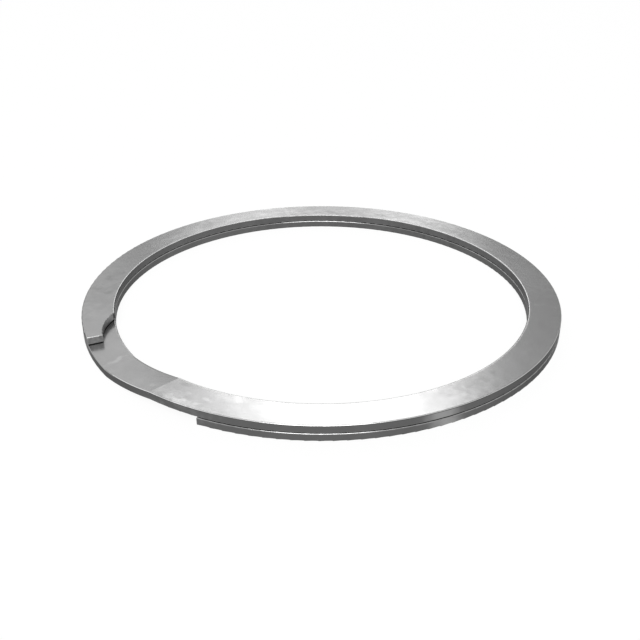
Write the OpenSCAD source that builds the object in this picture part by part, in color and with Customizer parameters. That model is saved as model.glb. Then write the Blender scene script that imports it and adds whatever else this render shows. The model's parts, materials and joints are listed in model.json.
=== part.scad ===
// Two-turn spiral retaining ring for a shaft groove.
// One length of flat steel wire is coiled on edge. Its two turns lie flat on each other and are
// joined by the joggle, a short straight step where the wire drops from the upper turn to the
// lower one. Each cut end carries part of a round notch in its inner edge, where a blade goes in
// to lift the ring out of its groove. The ring looks the same when it is turned over.

/* [Ring] */
// Inside diameter of the free ring, before it is sprung on to its shaft
inner_d = 53.8; // [40:0.1:90]
// Radial width of the wire
wire_w = 4.1; // [3:0.1:6]
// Thickness of the wire, which is the thickness of one turn
wire_t = 0.98; // [0.5:0.02:1.6]
// Free space between the two turns
turn_gap = 0.04; // [0.04:0.01:0.3]
// Radius of the rolled corners of the wire
corner_r = 0.15; // [0.05:0.01:0.2]

/* [Seam] */
// Direction of the middle of the joggle, counted from +X
seam_angle = 225; // [0:5:355]
// Length of the joggle between its two bend lines
joggle_l = 8.8; // [5:0.2:12]
// Length of wire between each bend line and the cut end that lies over or under it
end_clear = 5.7; // [1:0.1:20]

/* [Cut ends] */
// Radius of the round punch that makes the notch
notch_r = 7.5; // [4:0.1:12]
// Depth of the notch from the inner edge of the wire
notch_depth = 2.15; // [1:0.05:2.5]
// Distance of the punch's centre past the cut end
notch_past_end = 0.45; // [0:0.05:2]
// Chamfer that deburring leaves on the cut end and round the notch
edge_break = 0.06; // [0.04:0.01:0.2]

/* [Hidden] */
$fn = 96;

inner_r = inner_d / 2;
outer_r = inner_r + wire_w;
mean_r = (inner_r + outer_r) / 2;
pitch = wire_t + turn_gap;
ring_t = pitch + wire_t;
// the joggle's two bend lines are bend_y from the seam's radius and parallel to it
bend_y = joggle_l / 2;
end_angle = asin(bend_y / mean_r) + end_clear / mean_r * 180 / PI;
// how far a cutter runs past the surfaces that it cuts
past = 1;

// Section of the flat wire, standing at its radius and centred on its own thickness
module wire_section() {
    translate([inner_r, -wire_t / 2]) {
        translate([corner_r, 0]) square([wire_w - 2 * corner_r, wire_t]);
        translate([0, corner_r]) square([wire_w, wire_t - 2 * corner_r]);
        for (x = [corner_r, wire_w - corner_r], y = [corner_r, wire_t - corner_r])
            translate([x, y]) circle(corner_r);
    }
}

// A full circle of wire coiled on edge; the turns and the joggle are stretches of it
module coil() {
    rotate_extrude() wire_section();
}

// Side of a cutter that stands at x and widens at both faces of the wire, leaving chamfers there
function cutting_edge(x) = [
    [x + edge_break + past, -wire_t / 2 - past], [x, edge_break - wire_t / 2],
    [x, wire_t / 2 - edge_break], [x + edge_break + past, wire_t / 2 + past]
];

// Outline of a cutter, from its back at x to its cutting edge at edge_x
module cutter_outline(x, edge_x) {
    polygon(concat([[x, -wire_t / 2 - past]], cutting_edge(edge_x), [[x, wire_t / 2 + past]]));
}

// Cutters for the upper turn's cut end: the round punch and, past the end, a shear
module end_cutters() {
    rotate(-end_angle) {
        translate([inner_r + notch_depth - notch_r, notch_past_end, 0])
            rotate_extrude() cutter_outline(0, notch_r);
        translate([outer_r + past, 0, 0])
            rotate([90, 0, -90])
                linear_extrude(wire_w + 2 * past) cutter_outline(-past, 0);
    }
}

// Stretch of the circle that the upper turn leaves out, from inside its end's shear to its bend
module seam_opening() {
    start = asin(past / 2 / outer_r) - end_angle;
    reach = 2 * outer_r;
    linear_extrude(2 * wire_t, center = true)
        polygon([[0, 0], reach * [cos(start), sin(start)], [reach, bend_y], [0, bend_y]]);
}

// Upper turn, from its bend line round to its cut end
module turn() {
    translate([0, 0, pitch / 2])
        difference() {
            coil();
            seam_opening();
            end_cutters();
        }
}

// Step between the turns, pressed into the wire: it climbs one pitch between the bend lines
module joggle() {
    climb = pitch / joggle_l;
    multmatrix([[1, 0, 0, 0], [0, 1, 0, 0], [0, climb, 1, 0]])
        intersection() {
            coil();
            translate([0, -bend_y, -wire_t]) cube([2 * outer_r, joggle_l, 2 * wire_t]);
        }
}

// The whole ring. The lower turn is the upper one turned over about the seam's radius
module spiral_ring() {
    color("silver")
        translate([0, 0, ring_t / 2])
            rotate(seam_angle) {
                turn();
                joggle();
                rotate([180, 0, 0]) turn();
            }
}

spiral_ring();
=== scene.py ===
import json
import math

import bpy
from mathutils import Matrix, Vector


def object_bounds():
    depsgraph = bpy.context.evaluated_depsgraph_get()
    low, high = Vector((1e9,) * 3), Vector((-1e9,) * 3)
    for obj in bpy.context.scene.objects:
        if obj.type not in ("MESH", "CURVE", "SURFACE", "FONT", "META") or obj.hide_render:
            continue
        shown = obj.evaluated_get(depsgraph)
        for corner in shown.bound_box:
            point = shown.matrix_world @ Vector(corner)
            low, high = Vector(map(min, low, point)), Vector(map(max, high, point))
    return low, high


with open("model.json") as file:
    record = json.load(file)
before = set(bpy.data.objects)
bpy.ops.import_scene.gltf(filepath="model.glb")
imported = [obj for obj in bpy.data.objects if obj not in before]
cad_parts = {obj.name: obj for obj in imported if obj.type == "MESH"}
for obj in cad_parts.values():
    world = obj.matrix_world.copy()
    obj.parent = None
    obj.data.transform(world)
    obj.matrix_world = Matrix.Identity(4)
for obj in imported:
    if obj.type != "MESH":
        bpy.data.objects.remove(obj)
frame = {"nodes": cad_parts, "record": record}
cad_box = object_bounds()

# The ring: one length of flat spring-steel wire, rolled to its section and coiled on edge through
# two turns that a pressed step joins. Its broad faces have the steel's own tone and its narrow edges
# are darker, a painted shade, while its sheared ends and punched notches are bare, duller metal.
ring = frame["nodes"]["spiral_ring"]

# its solid is in metres, and its sizes here are in millimetres
MM = 1000.0
RING_THICKNESS = cad_box[1].z * MM
OUTER_R = cad_box[1].x * MM
INNER_R = frame["record"]["mounts"][0]["dims"]["r_mm"]
MIDDLE_R = (INNER_R + OUTER_R) / 2
CORNER_R = 0.15
TURN_GAP = 0.04
WIRE_THICKNESS = (RING_THICKNESS - TURN_GAP) / 2
PITCH = WIRE_THICKNESS + TURN_GAP
# direction of the middle of the step, counted round from +X, half the step's length, and its slope
SEAM_AT = math.radians(225)
STEP_HALF = 4.4
STEP_SLOPE = PITCH / 2 / STEP_HALF
# coiling rolls the broad faces off a little beside their inner corners, over this width and to
# this slope
RIM_WIDTH = 0.12
RIM_SLOPE = 0.088
# a surface is a cut one where the cosine between its own normal and the rolled wire's is below this
CUT_BELOW = 0.74


def add_node(tree, kind, **settings):
    node = tree.nodes.new(kind)
    for name, value in settings.items():
        setattr(node, name, value)
    return node


def feed(tree, socket, value):
    """Links a socket to the output that feeds it, or sets it to a number."""
    if isinstance(value, bpy.types.NodeSocket):
        tree.links.new(value, socket)
    else:
        socket.default_value = value


def maths(tree, operation, *values, clamp=False):
    node = add_node(tree, "ShaderNodeMath", operation=operation, use_clamp=clamp)
    for socket, value in zip(node.inputs, values):
        feed(tree, socket, value)
    return node.outputs[0]


def vector_maths(tree, operation, *values, out="Vector"):
    node = add_node(tree, "ShaderNodeVectorMath", operation=operation)
    for socket, value in zip(node.inputs, values):
        feed(tree, socket, value)
    return node.outputs[out]


def dot(tree, a, b):
    return vector_maths(tree, "DOT_PRODUCT", a, b, out="Value")


def length(tree, vector):
    return vector_maths(tree, "LENGTH", vector, out="Value")


def scaled(tree, vector, size):
    node = add_node(tree, "ShaderNodeVectorMath", operation="SCALE")
    feed(tree, node.inputs["Vector"], vector)
    feed(tree, node.inputs["Scale"], size)
    return node.outputs[0]


def upward(tree, vector):
    """The part of a vector that points up."""
    node = add_node(tree, "ShaderNodeSeparateXYZ")
    feed(tree, node.inputs[0], vector)
    return node.outputs["Z"]


def beyond(tree, value, half):
    """How far a value lies outside the span from -half to half."""
    node = add_node(tree, "ShaderNodeClamp")
    feed(tree, node.inputs["Value"], value)
    node.inputs["Min"].default_value = -half
    node.inputs["Max"].default_value = half
    return maths(tree, "SUBTRACT", value, node.outputs[0])


def ramp(tree, value, low, high, out_low=0.0, out_high=1.0, smooth=False):
    """Goes from out_low to out_high while the value goes from low to high."""
    node = add_node(tree, "ShaderNodeMapRange")
    if smooth:
        node.interpolation_type = "SMOOTHSTEP"
    for socket, number in zip(node.inputs, (value, low, high, out_low, out_high)):
        feed(tree, socket, number)
    return node.outputs["Result"]


def mix(tree, share, a, b, kind="FLOAT"):
    """All a where the share is 0, and all b where it is 1."""
    node = add_node(tree, "ShaderNodeMix", data_type=kind)
    sockets = [socket for socket in node.inputs if socket.enabled]
    for socket, value in zip(sockets, (share, a, b)):
        feed(tree, socket, value)
    return next(socket for socket in node.outputs if socket.enabled)


def noise(tree, spot, scale, detail=2.0, rough=0.5, distortion=0.0):
    """Clouds with values from 0 to 1, mostly near a half, and about scale of them to a millimetre."""
    node = add_node(tree, "ShaderNodeTexNoise")
    feed(tree, node.inputs["Vector"], spot)
    node.inputs["Scale"].default_value = scale
    node.inputs["Detail"].default_value = detail
    node.inputs["Roughness"].default_value = rough
    node.inputs["Distortion"].default_value = distortion
    return node.outputs["Fac"]


def wire_normal(tree, spot, outward, radius, height, mesh_normal):
    """The true normal of the wire's flat sides and rolled corners, which the solid's facets only come
    near, and where the surface is cut instead."""
    # the wire's middle lies half a pitch above or below the ring's, and climbs evenly through the step
    out_seam = (math.cos(SEAM_AT), math.sin(SEAM_AT), 0)
    past_seam = (-math.sin(SEAM_AT), math.cos(SEAM_AT), 0)
    across_seam = dot(tree, spot, past_seam)
    near_seam = maths(tree, "LESS_THAN", maths(tree, "ABSOLUTE", across_seam), STEP_HALF)
    seam_side = maths(tree, "GREATER_THAN", dot(tree, spot, out_seam), 0.0)
    in_step = maths(tree, "MULTIPLY", near_seam, seam_side)
    turn_middle = maths(tree, "MULTIPLY", maths(tree, "SIGN", height), PITCH / 2)
    step_middle = maths(tree, "MULTIPLY", across_seam, STEP_SLOPE)
    off_wire = maths(tree, "SUBTRACT", height, mix(tree, in_step, turn_middle, step_middle))

    # a point on the wire stands off its core, the section without its corners, squarely to the surface
    up = beyond(tree, off_wire, WIRE_THICKNESS / 2 - CORNER_R)
    off_middle = maths(tree, "SUBTRACT", radius, MIDDLE_R)
    core_half = (OUTER_R - INNER_R) / 2 - CORNER_R
    out = beyond(tree, off_middle, core_half)
    rolled_off = maths(tree, "MINIMUM", maths(tree, "ADD", off_middle, core_half - RIM_WIDTH), 0.0)
    out = maths(tree, "MULTIPLY_ADD", rolled_off, RIM_SLOPE * CORNER_R / RIM_WIDTH, out)
    lift = add_node(tree, "ShaderNodeCombineXYZ")
    feed(tree, lift.inputs["Z"], up)
    way = vector_maths(tree, "ADD", scaled(tree, outward, out), lift.outputs[0])
    lean = maths(tree, "MULTIPLY", maths(tree, "MULTIPLY", up, in_step), -STEP_SLOPE)
    way = vector_maths(tree, "ADD", way, scaled(tree, past_seam, lean))
    way = vector_maths(tree, "NORMALIZE", way)

    # the cut ends and notches, and their chamfers, have their own normals
    cut = maths(tree, "LESS_THAN", dot(tree, way, mesh_normal), CUT_BELOW)
    return mix(tree, cut, way, mesh_normal, kind="VECTOR"), cut


# a half size so large that a mark has no end that way
NO_END = 1000.0


def fraying(tree, spot, strength, scale, detail):
    """A noise round 0 that moves the borders of marks in and out."""
    centred = maths(tree, "SUBTRACT", noise(tree, spot, scale, detail), 0.5)
    return maths(tree, "MULTIPLY", centred, strength)


def oval_mark(tree, spot, centre, turned, half_sizes, fray, fade, strength=1.0):
    """An oval mark: its strength inside, and 0 past the border where it fades. The fade and the fray
    count in the oval's own half sizes."""
    oval = add_node(tree, "ShaderNodeMapping", vector_type="TEXTURE")
    feed(tree, oval.inputs["Vector"], spot)
    oval.inputs["Location"].default_value = centre
    oval.inputs["Rotation"].default_value = turned
    oval.inputs["Scale"].default_value = half_sizes
    off_centre = maths(tree, "ADD", length(tree, oval.outputs[0]), fray)
    return ramp(tree, off_centre, *fade, strength, 0.0, smooth=True)


# painted reflections, paler and darker patches on the faces: degrees round from +X, distance from the
# axis, heading in degrees, length and width in millimetres, and how much paler the steel is there
PAINTED_REFLECTIONS = (
    (214.8, 29.1, 51, 2.0, 0.9, 0.22),
    (240.0, 30.0, 20, 1.3, 0.9, 0.14),
    (240.4, 29.0, 68, 1.2, 0.7, 0.14),
    (237.5, 27.6, -23, 1.3, 0.5, -0.13),
    (244.5, 28.9, -38, 1.6, 0.5, 0.16),
    (249.6, 27.9, -25, 2.6, 1.2, 0.1),
    (170.6, 28.8, 75, 3.4, 1.8, -0.07),
    (180.0, 29.0, -34, 3.0, 1.4, -0.1),
    (351.4, 27.9, 7, 2.0, 0.5, 0.12),
    (326.1, 28.7, 23, 1.8, 0.7, 0.12),
    (134.0, 28.7, 19, 2.8, 1.4, 0.12),
    (120.0, 28.6, 32, 3.4, 1.5, 0.15),
    (59.0, 28.0, -38, 3.6, 1.4, 0.12),
    (10.0, 29.0, 100, 12.0, 5.0, 0.07),
    (48.0, 27.9, 138, 7.0, 3.0, -0.12),
    (62.0, 27.6, 152, 7.0, 2.6, -0.13),
    (81.0, 27.6, 171, 7.0, 2.6, -0.1),
    (105.0, 27.6, 15, 8.0, 2.6, -0.1),
    (132.0, 29.6, 42, 6.0, 3.0, -0.12),
    (146.0, 29.0, 56, 6.0, 4.0, 0.08),
    (183.0, 28.9, 93, 8.0, 4.0, -0.07),
    (236.0, 29.9, 146, 4.0, 2.0, 0.13),
    (305.0, 27.7, 35, 7.0, 2.4, -0.1),
    (242.5, 30.5, 152, 6.0, 1.2, 0.22),
)
# how strongly the noise frays a painted reflection's border, and how far from its centre it starts to
# fade and is gone
PAINTED_REFLECTION_FRAY = 3.5
PAINTED_REFLECTION_FADE = (0.3, 1.4)


def painted_reflection_factor(tree, spot):
    """How many times as pale the painted reflections make the steel."""
    fray = fraying(tree, spot, PAINTED_REFLECTION_FRAY, scale=1.3, detail=0.8)
    paler = 1.0
    # each patch is a painted reflection, paler or darker by its strength
    for at, from_axis, heading, long, wide, strength in PAINTED_REFLECTIONS:
        at = math.radians(at)
        centre = (from_axis * math.cos(at), from_axis * math.sin(at), 0)
        turned = (0, 0, math.radians(heading))
        half_sizes = (long / 2, wide / 2, NO_END)
        reflection_patch = oval_mark(tree, spot, centre, turned, half_sizes, fray, PAINTED_REFLECTION_FADE, strength)
        paler = maths(tree, "ADD", paler, reflection_patch)
    return paler


# a painted reflection makes the outer edge's painted shade paler in one place: the direction of that,
# counted round from +X, how far its band leans from upright and reaches each way, how strongly the
# noise frays its border, and where it starts to fade and is gone
PAINTED_EDGE_REFLECTION_AT = math.radians(294.8)
PAINTED_EDGE_REFLECTION_LEAN = math.radians(-20)
PAINTED_EDGE_REFLECTION_REACH = 2.0
PAINTED_EDGE_REFLECTION_FRAY = 0.9
PAINTED_EDGE_REFLECTION_FADE = (0.15, 1.45)
# how far outward the surface has to face to be part of the edge
EDGE_OUTWARD = 0.5


def painted_edge_reflection_band(tree, spot, outward, normal):
    """Where the painted reflection lies on the outer edge, from 0 to 1."""
    centre = (OUTER_R * math.cos(PAINTED_EDGE_REFLECTION_AT), OUTER_R * math.sin(PAINTED_EDGE_REFLECTION_AT), RING_THICKNESS / 2)
    turned = (0, PAINTED_EDGE_REFLECTION_LEAN, PAINTED_EDGE_REFLECTION_AT + math.pi / 2)
    half_sizes = (PAINTED_EDGE_REFLECTION_REACH * math.cos(PAINTED_EDGE_REFLECTION_LEAN), NO_END, NO_END)
    fray = fraying(tree, spot, PAINTED_EDGE_REFLECTION_FRAY, scale=0.9, detail=2.0)
    painted_edge_reflection = oval_mark(tree, spot, centre, turned, half_sizes, fray, PAINTED_EDGE_REFLECTION_FADE)
    on_edge = maths(tree, "GREATER_THAN", dot(tree, outward, normal), EDGE_OUTWARD)
    return maths(tree, "MULTIPLY", painted_edge_reflection, on_edge)


# how pale the rolled surfaces are: the faces, the edges darkened as painted shade and paler under a
# painted reflection, and the corners, with painted highlights along their crests, the outer ones
# bright and the inner ones a little darker than the faces as painted shade, painted shade at their
# feet, and a painted highlight of one tone in the seam between the turns
FACE_STEEL = 0.24
EDGE_SHADE_STEEL = 0.125
PAINTED_EDGE_REFLECTION_STEEL = 0.3
OUTER_CREST_HIGHLIGHT_STEEL = 0.56
INNER_CORNER_STEEL = 0.2
CORNER_FOOT_SHADE_STEEL = 0.07
SEAM_HIGHLIGHT_STEEL = 0.28
# the upward part of the normal where an edge turns into a corner, where an outer and an inner
# corner's crest begins, how softly it does, and where the corner turns into a face
CORNER_RISE = (0.1, 0.35)
OUTER_CREST_RISE = 0.63
INNER_CREST_RISE = 0.47
CREST_BLEND = 0.05
FACE_RISE = (0.84, 0.93)


def rolled_tone(tree, radius, height, rise, corner, painted_edge_reflection):
    """How pale the wire is on its faces, its edges and the corners between them, with painted highlights
    on the corners' crests and in the seam, and painted shade at their feet.
    """
    outer_side = maths(tree, "GREATER_THAN", radius, MIDDLE_R)
    crest_rise = mix(tree, outer_side, INNER_CREST_RISE, OUTER_CREST_RISE)
    past_crest = maths(tree, "SUBTRACT", rise, crest_rise)
    crest = ramp(tree, past_crest, -CREST_BLEND, CREST_BLEND, smooth=True)
    # painted highlights along the crests, bright on the outer corners, and painted shade at the feet
    crest_tone = mix(tree, outer_side, INNER_CORNER_STEEL, OUTER_CREST_HIGHLIGHT_STEEL)
    corner_tone = mix(tree, crest, CORNER_FOOT_SHADE_STEEL, crest_tone)
    # a painted highlight in the seam between the turns
    in_seam = maths(tree, "LESS_THAN", maths(tree, "ABSOLUTE", height), CORNER_R + TURN_GAP / 2)
    corner_tone = mix(tree, in_seam, corner_tone, SEAM_HIGHLIGHT_STEEL)
    # the edges are darker, a painted shade, and paler where the painted reflection lies on the outer edge
    edge_tone = mix(tree, painted_edge_reflection, EDGE_SHADE_STEEL, PAINTED_EDGE_REFLECTION_STEEL)
    edge_tone = mix(tree, corner, edge_tone, corner_tone)
    face = ramp(tree, maths(tree, "ABSOLUTE", rise), *FACE_RISE, smooth=True)
    return mix(tree, face, edge_tone, FACE_STEEL)


# how pale the sheared ends and the notches are, and the chamfers along their upper sides, a painted
# highlight
END_STEEL = 0.31
NOTCH_STEEL = 0.23
CHAMFER_HIGHLIGHT_STEEL = 0.34
# the part of the normal that lies along the wire, where a notch turns into a sheared end, and its
# upward part, where a cut turns into its chamfer
END_ALONG = (0.75, 0.9)
CHAMFER_RISE_FROM = 0.3
CHAMFER_RISE_TO = 0.5


def cut_tone(tree, spot, along, normal, rise):
    """How pale the wire is on its cut ends, in its notches and on their chamfers, with a painted
    highlight on the upper chamfers and painted shade on the lower ones.
    """
    endwise = maths(tree, "ABSOLUTE", dot(tree, normal, along))
    tone = mix(tree, ramp(tree, endwise, *END_ALONG), NOTCH_STEEL, END_STEEL)
    specks = noise(tree, spot, scale=2.5)
    tone = maths(tree, "MULTIPLY", tone, ramp(tree, specks, 0.35, 0.65, out_low=0.8, out_high=1.2))
    # the upper chamfers get a patchy painted highlight
    patches = ramp(tree, specks, 0.4, 0.6, out_low=0.6, out_high=1.4)
    chamfer_highlight = maths(tree, "MULTIPLY", CHAMFER_HIGHLIGHT_STEEL, patches)
    tone = mix(tree, ramp(tree, rise, CHAMFER_RISE_FROM, CHAMFER_RISE_TO), tone, chamfer_highlight)
    # the chamfers that face down get painted shade
    off_foot = ramp(tree, rise, -CHAMFER_RISE_TO, -CHAMFER_RISE_FROM)
    return mix(tree, off_foot, CORNER_FOOT_SHADE_STEEL, tone)


# the faces and corners are smooth from the rolls, the narrow edges less so, and the cuts are dull
FACE_ROUGHNESS = 0.22
EDGE_ROUGHNESS = 0.34
CUT_ROUGHNESS = 0.5
# the share of its grazing shine that the steel keeps
GRAZING_TINT = 0.45
# how deep the steel's slight unevenness is, in millimetres
DAPPLE_DEPTH = 0.015


def spring_steel():
    material = bpy.data.materials.new("spring_steel")
    material.use_nodes = True
    tree = material.node_tree
    steel = tree.nodes["Principled BSDF"]
    steel.inputs["Metallic"].default_value = 1.0
    steel.inputs["Specular Tint"].default_value = (GRAZING_TINT,) * 3 + (1,)

    # where a spot lies on the ring: its distance from the axis, its height from the ring's middle, the
    # ways out from the axis and along the wire, and the surface's normal
    place = add_node(tree, "ShaderNodeTexCoord")
    spot = scaled(tree, place.outputs["Object"], MM)
    flat_spot = vector_maths(tree, "MULTIPLY", spot, (1, 1, 0))
    radius = length(tree, flat_spot)
    height = maths(tree, "SUBTRACT", upward(tree, spot), RING_THICKNESS / 2)
    outward = vector_maths(tree, "NORMALIZE", flat_spot)
    along = vector_maths(tree, "CROSS_PRODUCT", outward, (0, 0, 1))
    normal, cut = wire_normal(tree, spot, outward, radius, height, place.outputs["Normal"])
    rise = upward(tree, normal)
    corner = ramp(tree, maths(tree, "ABSOLUTE", rise), *CORNER_RISE, smooth=True)

    # the tones of its surfaces, under the clouds that the rolls left and the painted reflections
    # the painted reflection on the outer edge
    painted_edge_reflection = painted_edge_reflection_band(tree, spot, outward, normal)
    rolled = rolled_tone(tree, radius, height, rise, corner, painted_edge_reflection)
    tone = mix(tree, cut, rolled, cut_tone(tree, spot, along, normal, rise))
    clouds = noise(tree, spot, scale=0.3, detail=3.0, rough=0.55, distortion=0.6)
    tone = maths(tree, "MULTIPLY", tone, ramp(tree, clouds, 0.35, 0.65, out_low=0.96, out_high=1.04))
    tone = maths(tree, "MULTIPLY", tone, painted_reflection_factor(tree, spot))
    colour = add_node(tree, "ShaderNodeCombineColor")
    for socket in colour.inputs:
        feed(tree, socket, tone)
    feed(tree, steel.inputs["Base Color"], colour.outputs[0])

    edge_rough = mix(tree, cut, EDGE_ROUGHNESS, CUT_ROUGHNESS)
    rough = mix(tree, corner, edge_rough, FACE_ROUGHNESS)
    patchy = ramp(tree, clouds, 0.3, 0.7, out_low=1.08, out_high=0.92)
    feed(tree, steel.inputs["Roughness"], maths(tree, "MULTIPLY", rough, patchy))

    dapple = add_node(tree, "ShaderNodeBump")
    dapple.inputs["Distance"].default_value = DAPPLE_DEPTH / MM
    feed(tree, dapple.inputs["Height"], noise(tree, spot, scale=0.6, detail=1.0))
    feed(tree, dapple.inputs["Normal"], normal)
    feed(tree, steel.inputs["Normal"], dapple.outputs[0])
    return material


ring.data.materials.clear()
ring.data.materials.append(spring_steel())

# The floor: a wide, plain white sheet that the ring lies on. It looks almost evenly white however
# the light falls on it, and keeps a little of the ring's soft shadow.
FLOOR_SIDE = 12.0
FLOOR_COLOUR = 0.95
FLOOR_OWN_WHITE = 0.93


def seen_directly(tree):
    """1 for what the camera sees, itself or in a reflection, and 0 for the light that falls on things."""
    path = add_node(tree, "ShaderNodeLightPath")
    seen = maths(tree, "ADD", path.outputs["Is Camera Ray"], path.outputs["Is Glossy Ray"])
    return maths(tree, "ADD", seen, path.outputs["Is Transmission Ray"], clamp=True)


def white_floor():
    bpy.ops.mesh.primitive_plane_add(size=FLOOR_SIDE, location=(0, 0, 0))
    floor = bpy.context.object
    floor.name = "floor"
    material = bpy.data.materials.new("white_floor")
    material.use_nodes = True
    tree = material.node_tree
    sheet = tree.nodes["Principled BSDF"]
    sheet.inputs["Base Color"].default_value = (FLOOR_COLOUR,) * 3 + (1,)
    sheet.inputs["Roughness"].default_value = 1.0
    sheet.inputs["Specular IOR Level"].default_value = 0.0
    white = add_node(tree, "ShaderNodeEmission")
    blend = add_node(tree, "ShaderNodeMixShader")
    feed(tree, blend.inputs["Fac"], maths(tree, "MULTIPLY", seen_directly(tree), FLOOR_OWN_WHITE))
    feed(tree, blend.inputs[1], sheet.outputs[0])
    feed(tree, blend.inputs[2], white.outputs[0])
    feed(tree, tree.nodes["Material Output"].inputs["Surface"], blend.outputs[0])
    floor.data.materials.append(material)


white_floor()

# The light: a white room with eight soft lamps. A large one stands behind the ring, with a narrow
# low one towards each side of it and a small one for the step, a wide weak one on the left, a long
# weak one overhead, and two strong ones in front, higher than the camera.
ROOM_LIGHT = 0.1
LAMP_DISTANCE = 1.5
# how far each lamp is turned right of straight back and how high it stands, its width and its length,
# all in degrees as the ring sees them, and how bright it is, where the room is 1
LAMPS = {
    "back_lamp": (2.7, 34.6, 15, 25.4, 4.1),
    "low_left_lamp": (-6.9, 27, 7.4, 16.4, 2.4),
    "low_right_lamp": (5.7, 27, 3.6, 13.7, 2.2),
    "left_lamp": (-46, 45, 58, 49, 0.81),
    "step_lamp": (-19, 14, 6, 10, 1.8),
    "top_lamp": (0, 90, 26, 64, 1.0),
    "front_left_lamp": (193.3, 46, 19.4, 36, 7.6),
    "front_right_lamp": (167, 46, 18, 36, 6.6),
}


def white_room():
    """A room that looks white, in the steel too, and lights the floor only weakly."""
    world = bpy.data.worlds.new("white_room")
    bpy.context.scene.world = world
    world.use_nodes = True
    tree = world.node_tree
    background = tree.nodes["Background"]
    background.inputs["Color"].default_value = (1, 1, 1, 1)
    strength = ramp(tree, seen_directly(tree), 0.0, 1.0, ROOM_LIGHT, 1.0)
    feed(tree, background.inputs["Strength"], strength)


def lamp_side(degrees):
    """The side of a lamp that looks this wide from the ring."""
    return 2 * LAMP_DISTANCE * math.tan(math.radians(degrees / 2))


def soft_lamp(name, turn, height, width, long, radiance):
    """A lamp that faces the ring, from straight overhead where its height is 90 degrees."""
    lamp = bpy.data.lights.new(name, "AREA")
    lamp.shape = "RECTANGLE"
    lamp.size = lamp_side(width)
    lamp.size_y = lamp_side(long)
    lamp.energy = radiance * math.pi * lamp.size * lamp.size_y
    holder = bpy.data.objects.new(name, lamp)
    bpy.context.scene.collection.objects.link(holder)
    turn = math.radians(turn)
    height = math.radians(height)
    out = LAMP_DISTANCE * math.cos(height)
    holder.location = (out * math.sin(turn), out * math.cos(turn), LAMP_DISTANCE * math.sin(height))
    holder.rotation_euler = (height - math.pi / 2, 0, -turn)


white_room()
for lamp_name, lamp_sizes in LAMPS.items():
    soft_lamp(lamp_name, *lamp_sizes)

# The camera: it stands close in front of the ring and looks down on it at about 28 degrees, through
# a lens of nearly normal length.
CAMERA_PLACE = Vector((0.000173, -0.10355, 0.05339))
CAMERA_AIM = Vector((-0.00016, -0.00842, 0.002))
CAMERA_LENS = 48.93
CAMERA_FILM_WIDTH = 36.0
CAMERA_NEAREST = 0.005


def front_camera():
    camera = bpy.data.cameras.new("camera")
    camera.lens = CAMERA_LENS
    camera.sensor_width = CAMERA_FILM_WIDTH
    camera.clip_start = CAMERA_NEAREST
    holder = bpy.data.objects.new("camera", camera)
    bpy.context.scene.collection.objects.link(holder)
    holder.location = CAMERA_PLACE
    holder.rotation_euler = (CAMERA_AIM - CAMERA_PLACE).to_track_quat("-Z", "Y").to_euler()
    bpy.context.scene.camera = holder


front_camera()
bpy.context.scene.view_settings.view_transform = "Standard"
